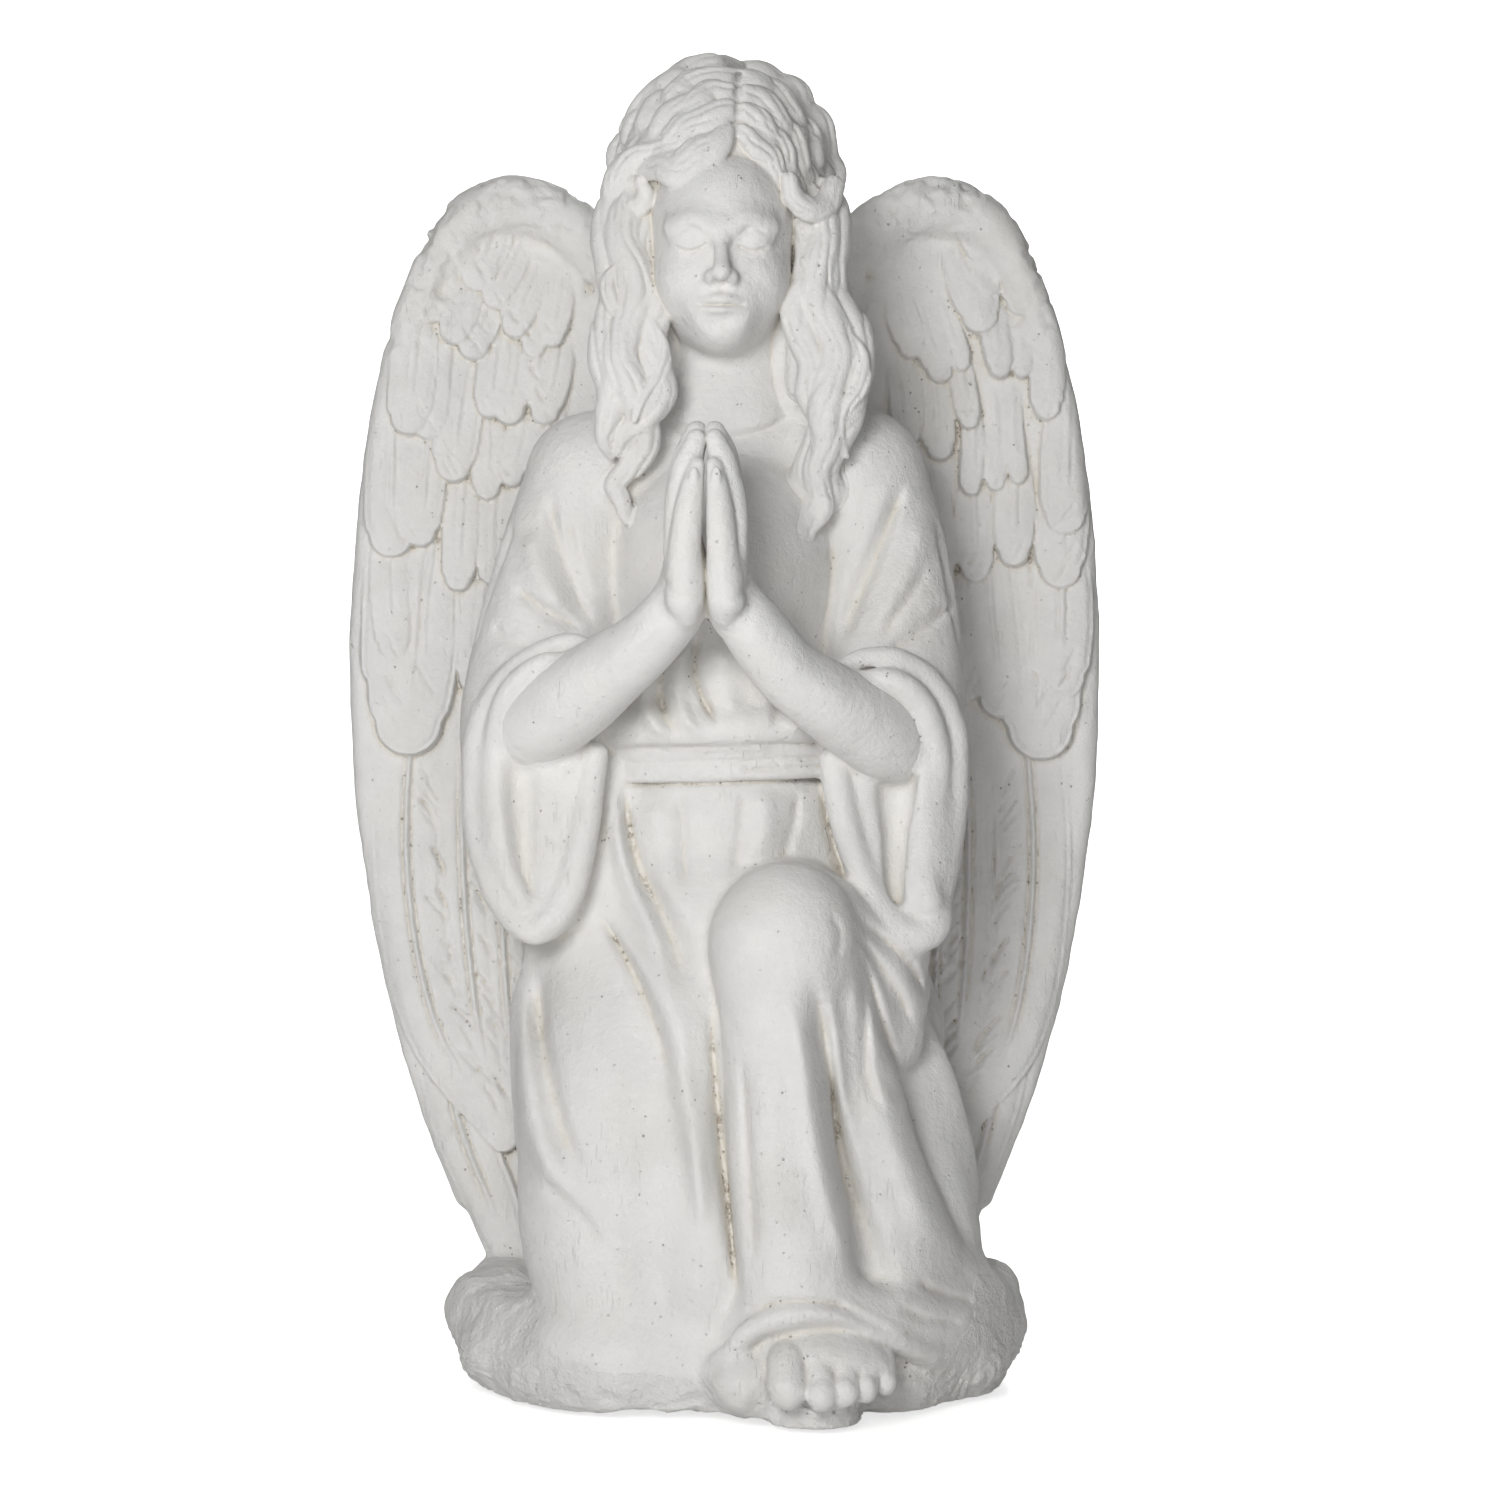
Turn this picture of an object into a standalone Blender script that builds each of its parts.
"""Resin angel figurine: a kneeling, praying angel, built from separate resin castings.

Frame: +Z up, origin on the ground under the middle of the figurine's bounding box. The angel
faces -Y, so its left side is at +X. Lengths are in metres; the MM factor lets sizes be read in
millimetres. The shapes are laid out round the middle of the rock, and moved to the origin last.

The castings are head_and_hair, praying_hands, figure_body, wing_left, wing_right and base_rock.
They join at conformal sockets with a glue gap, on steel pins, and the hollow inside is closed
from below by base_plate, which stands clear of the ground on four felt_pad discs.
"""

import math

import bmesh
import bpy
from mathutils import Matrix, Vector

MM = 0.001

# Driving dimensions
WALL = 9 * MM
GLUE_GAP = 0.6 * MM
PAD_THICKNESS = 2 * MM
PAD_CLEARANCE = 0.3 * MM
BASE_TOP = 38 * MM
FOOT_GAP = 0.4 * MM
BODY_X = -4 * MM

PAD_RADIUS = 9 * MM
PIN_RADIUS = 2 * MM
PIN_CLEARANCE = 0.15 * MM
PLATE_RADIUS = 62 * MM
PLATE_THICKNESS = 3 * MM
OPENING_RADIUS = 50 * MM

ROUND_SEGMENTS = 20
PIN_SEGMENTS = 16
PAD_SEGMENTS = 32
PLATE_SEGMENTS = 48


def clear_scene():
    for obj in list(bpy.data.objects):
        bpy.data.objects.remove(obj)


def collection(name, helper=False):
    made = bpy.data.collections.new(name)
    bpy.context.scene.collection.children.link(made)
    made.hide_render = helper
    return made


def material(name, colour, roughness, metallic=0.0):
    made = bpy.data.materials.new(name)
    made.use_nodes = True
    shader = made.node_tree.nodes["Principled BSDF"]
    shader.inputs["Base Color"].default_value = (*colour, 1)
    shader.inputs["Roughness"].default_value = roughness
    shader.inputs["Metallic"].default_value = metallic
    return made


def point(x, y, z):
    """A point given in millimetres."""
    return Vector((x, y, z)) * MM


def side_point(side, x, y, z):
    """A point in millimetres, x from the body's middle plane, on one side (+1 left, -1 right)."""
    return Vector((BODY_X + side * x * MM, y * MM, z * MM))


def add_ball(bm, centre, radii, turn=0.0):
    """An ellipsoid with radii in millimetres, turned about Y by an angle in degrees."""
    size = Matrix.Diagonal((radii[0] * MM, radii[1] * MM, radii[2] * MM, 1))
    place = Matrix.Translation(centre) @ Matrix.Rotation(math.radians(turn), 4, "Y")
    bmesh.ops.create_uvsphere(bm, u_segments=20, v_segments=12, radius=1, matrix=place @ size)


def add_rod(bm, start, end, radius1, radius2):
    """A closed cone or cylinder between two points, with radii in metres."""
    along = end - start
    turn = along.to_track_quat("Z", "Y").to_matrix().to_4x4()
    bmesh.ops.create_cone(
        bm,
        cap_ends=True,
        segments=ROUND_SEGMENTS,
        radius1=radius1,
        radius2=radius2,
        depth=along.length,
        matrix=Matrix.Translation((start + end) / 2) @ turn,
    )


def add_limb(bm, stations):
    """A rounded limb through (point, radius in millimetres) stations."""
    for centre, radius in stations:
        add_ball(bm, centre, (radius, radius, radius))
    for (start, radius1), (end, radius2) in zip(stations, stations[1:]):
        add_rod(bm, start, end, radius1 * MM, radius2 * MM)


def object_from(bm, name, home, finish=None):
    mesh = bpy.data.meshes.new(name)
    bm.to_mesh(mesh)
    bm.free()
    made = bpy.data.objects.new(name, mesh)
    home.objects.link(made)
    if finish:
        mesh.materials.append(finish)
    return made


def bake(obj):
    """Replaces an object's mesh with its evaluated one and drops the modifiers."""
    graph = bpy.context.evaluated_depsgraph_get()
    graph.update()
    mesh = bpy.data.meshes.new_from_object(obj.evaluated_get(graph))
    obj.modifiers.clear()
    obj.data = mesh
    mesh.name = obj.name


def fuse(obj, voxel, smoothing, triangles):
    """Turns overlapping closed shapes into one soft closed skin of about this many triangles."""
    remesh = obj.modifiers.new("fuse", "REMESH")
    remesh.mode = "VOXEL"
    remesh.voxel_size = voxel
    smooth = obj.modifiers.new("soften", "SMOOTH")
    smooth.factor = 0.5
    smooth.iterations = smoothing
    bake(obj)
    count = sum(len(face.vertices) - 2 for face in obj.data.polygons)
    thin = obj.modifiers.new("thin", "DECIMATE")
    thin.ratio = min(1.0, triangles / count)
    bake(obj)
    obj.data.shade_smooth()
    obj.data.set_sharp_from_angle(angle=math.radians(40))


def cut(obj, cutter, name):
    """Takes the cutter out of the object and keeps the cutter as a hidden guide."""
    cutter.hide_render = True
    cutter.display_type = "WIRE"
    step = obj.modifiers.new(name, "BOOLEAN")
    step.operation = "DIFFERENCE"
    step.solver = "EXACT"
    step.object = cutter


def swollen(obj, gap, home):
    """A copy of a casting grown outwards by the gap, to cut its socket in a neighbour."""
    grown = obj.copy()
    grown.name = obj.name + "_socket"
    home.objects.link(grown)
    bm = bmesh.new()
    bm.from_mesh(obj.data)
    bm.normal_update()
    most_stretch = 2.5
    moves = [v.normal * gap * min(v.calc_shell_factor(), most_stretch) for v in bm.verts]
    for vertex, move in zip(bm.verts, moves):
        vertex.co += move
    grown.data = bpy.data.meshes.new(grown.name)
    bm.to_mesh(grown.data)
    bm.free()
    return grown


def box_cutter(name, low, high, home):
    bm = bmesh.new()
    middle = (low + high) / 2
    size = high - low
    place = Matrix.Translation(middle) @ Matrix.Diagonal((*size, 1))
    bmesh.ops.create_cube(bm, size=1, matrix=place)
    return object_from(bm, name, home)


def rod_object(name, start, end, radius, home, finish=None, segments=24):
    bpy.ops.mesh.primitive_cylinder_add(
        vertices=segments, radius=radius, depth=(end - start).length, location=(start + end) / 2
    )
    made = bpy.context.object
    made.rotation_mode = "QUATERNION"
    made.rotation_quaternion = (end - start).to_track_quat("Z", "Y")
    made.name = name
    for old in list(made.users_collection):
        old.objects.unlink(made)
    home.objects.link(made)
    if finish:
        made.data.materials.append(finish)
    return made


# --- base -------------------------------------------------------------------------------------

def base_reach(angle):
    """How far the rock's foot line reaches from its middle, in metres, at an angle about Z."""
    half_width, half_depth = 121, 101
    oval = 1 / math.hypot(math.cos(angle) / half_width, math.sin(angle) / half_depth)

    def lobe(at_degrees, height, width):
        gap = math.remainder(angle - math.radians(at_degrees), 2 * math.pi)
        return height * math.exp(-((gap / width) ** 2))

    toe_lobe = lobe(-74, 27, 0.26)
    knee_lobe = lobe(-112, 6, 0.25)
    ripple = 1.5 * math.sin(5 * angle + 1) + math.sin(11 * angle)
    return (oval + toe_lobe + knee_lobe + ripple) * MM


def build_base(home, finish):
    """The rock: a low rounded disc, its rim swelling out above the foot line."""
    # Height in millimetres, up to the top face, against the share of the rim's full reach
    rim = {2: 0.95, 9: 1.0, 20: 1.0, 31: 0.95, round(BASE_TOP / MM): 0.84}
    low, high = min(rim), max(rim)
    bm = bmesh.new()
    bmesh.ops.create_cone(
        bm,
        cap_ends=True,
        segments=64,
        radius1=1,
        radius2=1,
        depth=high - low,
        matrix=Matrix.Translation((0, 0, (high + low) / 2)),
    )
    for height in list(rim)[1:-1]:
        everything = bm.verts[:] + bm.edges[:] + bm.faces[:]
        bmesh.ops.bisect_plane(bm, geom=everything, plane_co=(0, 0, height), plane_no=(0, 0, 1))
    for vertex in bm.verts:
        angle = math.atan2(vertex.co.y, vertex.co.x)
        reach = base_reach(angle) * rim[round(vertex.co.z)]
        vertex.co = Vector((math.cos(angle) * reach, math.sin(angle) * reach, vertex.co.z * MM))
    return object_from(bm, "base_rock", home, finish)


def hollow_base(base, guides):
    """Opens the rock to the body's hollow, and rebates its underside for the closing plate."""
    floor = PAD_THICKNESS
    below = point(0, 0, -10)
    above = point(0, 0, 60)
    opening = rod_object(
        "base_opening", below, above, OPENING_RADIUS, guides, segments=PLATE_SEGMENTS
    )
    cut(base, opening, "opening")
    rebate_top = Vector((0, 0, floor + PLATE_THICKNESS + GLUE_GAP))
    rebate = rod_object(
        "plate_rebate", below, rebate_top, PLATE_RADIUS + GLUE_GAP, guides, segments=PLATE_SEGMENTS
    )
    cut(base, rebate, "rebate")


# --- wings ------------------------------------------------------------------------------------

WING_FRONT = 62
WING_THICKNESS = 15

# Outline of a wing seen from the front: (distance from the body's middle plane, height)
WING_OUTLINE = (
    (10, 440), (34, 478), (62, 505), (76, 523), (94, 531), (112, 526), (130, 508), (149, 461),
    (161, 410), (167, 357), (167, 305), (163, 245), (154, 198), (142, 150), (126, 100), (112, 62),
    (99, 39), (84, 42), (62, 62), (44, 100), (24, 160), (12, 240), (9, 340),
)


def wing_sweep(x, z):
    """How far forward of the flat wing plane the wing lies, in millimetres, at a place on it."""
    outward = 8 * (x / 170) ** 2
    downward = 24 * (max(0, 250 - z) / 210) ** 2
    return outward + downward


def wing_slab(side):
    """The flat wing as a filled 2D curve, given its thickness, as a mesh."""
    curve = bpy.data.curves.new("wing_outline", "CURVE")
    curve.dimensions = "2D"
    curve.fill_mode = "BOTH"
    curve.extrude = WING_THICKNESS / 2 * MM
    spline = curve.splines.new("POLY")
    spline.points.add(len(WING_OUTLINE) - 1)
    for target, (x, z) in zip(spline.points, WING_OUTLINE):
        target.co = (side * x * MM, z * MM, 0, 1)
    spline.use_cyclic_u = True
    guide = bpy.data.objects.new("wing_outline", curve)
    bpy.context.scene.collection.objects.link(guide)
    bpy.context.view_layer.update()
    graph = bpy.context.evaluated_depsgraph_get()
    mesh = bpy.data.meshes.new_from_object(guide.evaluated_get(graph))
    bpy.data.objects.remove(guide)
    return mesh


def build_wing(name, side, home, finish):
    bm = bmesh.new()
    bm.from_mesh(wing_slab(side))
    bmesh.ops.remove_doubles(bm, verts=bm.verts, dist=0.01 * MM)
    middle = WING_FRONT + WING_THICKNESS / 2
    stand = Matrix.Translation(point(BODY_X / MM, middle, 0)) @ Matrix.Rotation(math.radians(90), 4, "X")
    bmesh.ops.transform(bm, matrix=stand, verts=bm.verts)
    bmesh.ops.recalc_face_normals(bm, faces=bm.faces)

    # The bony front edge: a thick roll over the arch, thinning down the outside
    roll = (
        (30, 470, 9), (62, 497, 11), (94, 517, 13), (122, 502, 11), (144, 455, 9), (156, 400, 7),
        (161, 330, 6),
    )
    add_limb(bm, [(side_point(side, x, middle - 6, z), radius) for x, z, radius in roll])

    # Scalloped covert feathers: rows of (height of the tips, half length, half width, inner x, outer x)
    rows = (
        (455, 20, 12, 60, 120, 3), (415, 24, 13, 48, 138, 4), (365, 26, 14, 40, 148, 4),
        (310, 28, 15, 66, 150, 3), (268, 30, 16, 90, 146, 2),
    )
    for row, (tip, half_length, half_width, inner, outer, count) in enumerate(rows):
        depth = WING_FRONT - 0.5 + 0.8 * row
        for index in range(count):
            x = inner + (outer - inner) * index / (count - 1)
            drop = 12 * index / count
            centre = side_point(side, x, depth, tip + half_length - drop)
            add_ball(bm, centre, (half_width, 4, half_length))

    # Long flight feathers: four ridges running down to the tip
    for index in range(4):
        top_x, foot_x = 60 + 27 * index, 62 + 12 * index
        top = side_point(side, top_x, WING_FRONT + 3, 262)
        bend = side_point(side, top_x + 2, WING_FRONT + 3, 190)
        foot = side_point(side, foot_x, WING_FRONT + 3, 75)
        add_limb(bm, [(top, 8), (bend, 8), (foot, 5)])

    wing = object_from(bm, name, home, finish)
    fuse(wing, 3.2 * MM, 3, 1700)
    for vertex in wing.data.vertices:
        x, z = abs(vertex.co.x - BODY_X) / MM, vertex.co.z / MM
        vertex.co.y -= wing_sweep(x, z) * MM
    return wing


# --- head, hands and body ---------------------------------------------------------------------

def build_head(home, finish):
    """Head, hair and neck, with a spigot that plugs into the shoulders."""
    bm = bmesh.new()
    add_ball(bm, point(-4, -10, 498), (37, 46, 56))
    add_ball(bm, point(-4, 4, 512), (47, 55, 61))
    add_ball(bm, point(-4, -32, 462), (27, 25, 26))
    add_ball(bm, point(-4, 38, 452), (52, 22, 72))
    add_limb(bm, [(point(-4, -4, 455), 22), (point(-4, -2, 402), 25)])
    for side, reach, tip in ((-1, 49, 366), (1, 56, 362)):
        locks = [
            (side_point(side, 38, -10, 520), 16),
            (side_point(side, 46, -12, 478), 16),
            (side_point(side, reach - 4, -14, 445), 17),
            (side_point(side, reach, -26, 415), 14),
            (side_point(side, reach - 10, -42, 388), 10),
            (side_point(side, reach - 14, -50, tip + 4), 5),
        ]
        add_limb(bm, locks)
    add_rod(bm, point(-4, 2, 410), point(-4, 2, 358), 14 * MM, 13 * MM)
    head = object_from(bm, "head_and_hair", home, finish)
    fuse(head, 3.6 * MM, 4, 1700)
    return head


def build_hands(home, finish):
    """Both forearms and the joined hands, with a peg on each elbow that seats inside its sleeve."""
    bm = bmesh.new()
    forearms = (
        (
            (-15, -87, 338, 11), (-26, -86, 324, 12), (-50, -70, 302, 15), (-76, -46, 280, 18),
            (-90, -24, 270, 11),
        ),
        (
            (-3, -87, 338, 11), (7, -86, 321, 12), (32, -68, 296, 15), (62, -44, 272, 18),
            (78, -22, 262, 11),
        ),
    )
    for stations in forearms:
        add_limb(bm, [(point(x, y, z), radius) for x, y, z, radius in stations])
    for x in (-17, -1):
        add_ball(bm, point(x, -88, 350), (10, 17, 31))
        fingers = [(point(x, -92, 355), 8), (point((x - 9) / 2, -92, 385), 6), (point(-9, -91, 395), 4.5)]
        add_limb(bm, fingers)
        inward = 3 if x < -9 else -3
        thumb = [(point(x + inward, -102, 335), 7), (point(-9, -105, 372), 5)]
        add_limb(bm, thumb)
    hands = object_from(bm, "praying_hands", home, finish)
    fuse(hands, 2.6 * MM, 2, 1200)
    return hands


def body_limbs():
    """The robed body as limbs, each a list of (point, radius in millimetres)."""
    kneeling_leg = [(-36, 6, 200, 48), (-44, -34, 120, 46), (-46, -46, 72, 42), (-44, -60, 42, 30)]
    raised_thigh = [(18, 8, 196, 42), (24, -70, 190, 32)]
    shin = [(24, -70, 190, 32), (30, -82, 112, 27), (38, -88, 62, 30), (38, -98, 40, 18)]
    side_drape = [(66, 0, 150, 26), (76, -30, 80, 26), (84, -34, 44, 22)]
    heel = [(-10, 30, 150, 52), (-10, 42, 70, 48)]
    shoulders = [(-66, 6, 372, 27), (-4, 8, 384, 28), (60, 6, 372, 27)]
    right_sleeve = [
        (-70, 2, 366, 27), (-84, -12, 320, 27), (-88, -28, 262, 25), (-82, -38, 215, 19),
        (-80, -42, 202, 12),
    ]
    left_sleeve = [
        (64, 2, 366, 27), (72, -12, 320, 26), (72, -28, 262, 24), (74, -38, 215, 18),
        (76, -42, 202, 12),
    ]
    foot = [(36, -96, 44, 17), (37, -112, 42, 13)]
    limbs = (
        kneeling_leg, raised_thigh, shin, side_drape, heel, shoulders, right_sleeve, left_sleeve, foot
    )
    return [[(point(x, y, z), radius) for x, y, z, radius in limb] for limb in limbs]


def build_body(home, finish):
    bm = bmesh.new()
    for limb in body_limbs():
        add_limb(bm, limb)
    add_ball(bm, point(-4, 10, 328), (64, 46, 92))
    add_ball(bm, point(-4, -10, 345), (50, 40, 50))
    add_ball(bm, point(-4, 10, 190), (80, 54, 92))
    add_ball(bm, point(-4, 26, 320), (68, 46, 90))
    add_ball(bm, point(-4, 2, 96), (84, 60, 88))

    # Wide sleeve ends hanging below the elbows
    for side, reach in ((-1, 84), (1, 77)):
        add_ball(bm, side_point(side, reach, -30, 262), (27, 25, 40))
        add_ball(bm, side_point(side, reach - 6, -38, 226), (22, 20, 40))
    body = object_from(bm, "figure_body", home, finish)
    fuse(body, 5 * MM, 3, 3200)
    return body


def build_hollow(home):
    """The space inside the body: the same thick limbs, one wall thickness smaller, open at the foot."""
    wall = WALL / MM
    bm = bmesh.new()
    inner = ([(-36, 6, 200, 48), (-42, -22, 110, 46)], [(-10, 30, 150, 52), (-8, 30, 70, 44)])
    for limb in inner:
        add_limb(bm, [(point(x, y, z), radius - 2 * wall) for x, y, z, radius in limb])
    add_ball(bm, point(-4, 6, 318), (64 - 2.4 * wall, 46 - 2 * wall, 84 - 2 * wall))
    add_ball(bm, point(-4, 8, 200), (78 - 2 * wall, 52 - 2 * wall, 88 - 2 * wall))
    add_rod(bm, point(0, 10, 130), point(0, 10, 20), 36 * MM, 36 * MM)
    hollow = object_from(bm, "body_hollow", home)
    fuse(hollow, 6 * MM, 3, 500)
    return hollow


# --- assembly ---------------------------------------------------------------------------------

# Side of the body, distance from its middle plane, height
PIN_PLACES = {
    "left_upper": (1, 30, 352),
    "left_lower": (1, 30, 285),
    "right_upper": (-1, 30, 352),
    "right_lower": (-1, 30, 285),
}
PIN_FRONT, PIN_BACK = 45, 72


def build_pins(home, guides, finish, body, wings):
    """Steel pins that locate each wing on the back, and their holes in both castings."""
    slack = 1 * MM
    for name, (side, x, z) in PIN_PLACES.items():
        front, back = side_point(side, x, PIN_FRONT, z), side_point(side, x, PIN_BACK, z)
        rod_object("wing_pin_" + name, front, back, PIN_RADIUS, home, finish, segments=PIN_SEGMENTS)
        along = (back - front).normalized() * slack
        hole_radius = PIN_RADIUS + PIN_CLEARANCE
        hole = rod_object(
            "pin_hole_" + name, front - along, back + along, hole_radius, guides, segments=PIN_SEGMENTS
        )
        cut(body, hole, "pin_" + name)
        cut(wings[side], hole, "pin_" + name)


def build_pads(home, finish):
    places = {
        "front_left": (58, -62),
        "front_right": (-66, -56),
        "back_left": (74, 48),
        "back_right": (-74, 48),
    }
    for name, (x, y) in places.items():
        foot = point(x, y, 0)
        top = point(x, y, (PAD_THICKNESS - PAD_CLEARANCE) / MM)
        rod_object("felt_pad_" + name, foot, top, PAD_RADIUS, home, finish, segments=PAD_SEGMENTS)


def stand_on_origin(parts):
    """Moves everything so that the origin is under the middle of the figurine's bounding box."""
    graph = bpy.context.evaluated_depsgraph_get()
    graph.update()
    corners = []
    for obj in parts.objects:
        solid = obj.evaluated_get(graph)
        corners += [solid.matrix_world @ Vector(corner) for corner in solid.bound_box]
    middle = Vector(
        [(min(c[axis] for c in corners) + max(c[axis] for c in corners)) / 2 for axis in (0, 1)] + [0]
    )
    for obj in bpy.data.objects:
        obj.location -= middle


def main():
    clear_scene()
    parts = collection("resin_angel_figurine")
    guides = collection("cutters", helper=True)
    resin = material("cast_resin", (0.83, 0.82, 0.79), 0.62)
    steel = material("pin_steel", (0.55, 0.55, 0.56), 0.35, metallic=1.0)
    felt = material("felt", (0.16, 0.15, 0.14), 0.95)

    base = build_base(parts, resin)
    hollow_base(base, guides)
    wings = {
        1: build_wing("wing_left", 1, parts, resin),
        -1: build_wing("wing_right", -1, parts, resin),
    }
    head = build_head(parts, resin)
    hands = build_hands(parts, resin)
    body = build_body(parts, resin)

    # The body gives way to every casting that seats in it, and stands on the rock's top face
    foot_plane = BASE_TOP + FOOT_GAP
    ground = box_cutter("ground", point(-300, -300, -100), point(300, 300, foot_plane / MM), guides)
    cut(body, ground, "foot")
    cut(body, build_hollow(guides), "hollow")
    for neighbour in (head, hands, wings[1], wings[-1]):
        cut(body, swollen(neighbour, GLUE_GAP, guides), neighbour.name)
    for wing in wings.values():
        cut(wing, swollen(head, GLUE_GAP, guides), "hair")
        cut(wing, swollen(base, GLUE_GAP, guides), "rock")

    build_pins(parts, guides, steel, body, wings)
    plate_foot = Vector((0, 0, PAD_THICKNESS))
    plate_top = Vector((0, 0, PAD_THICKNESS + PLATE_THICKNESS))
    rod_object(
        "base_plate", plate_foot, plate_top, PLATE_RADIUS, parts, resin, segments=PLATE_SEGMENTS
    )
    build_pads(parts, felt)
    stand_on_origin(parts)


main()
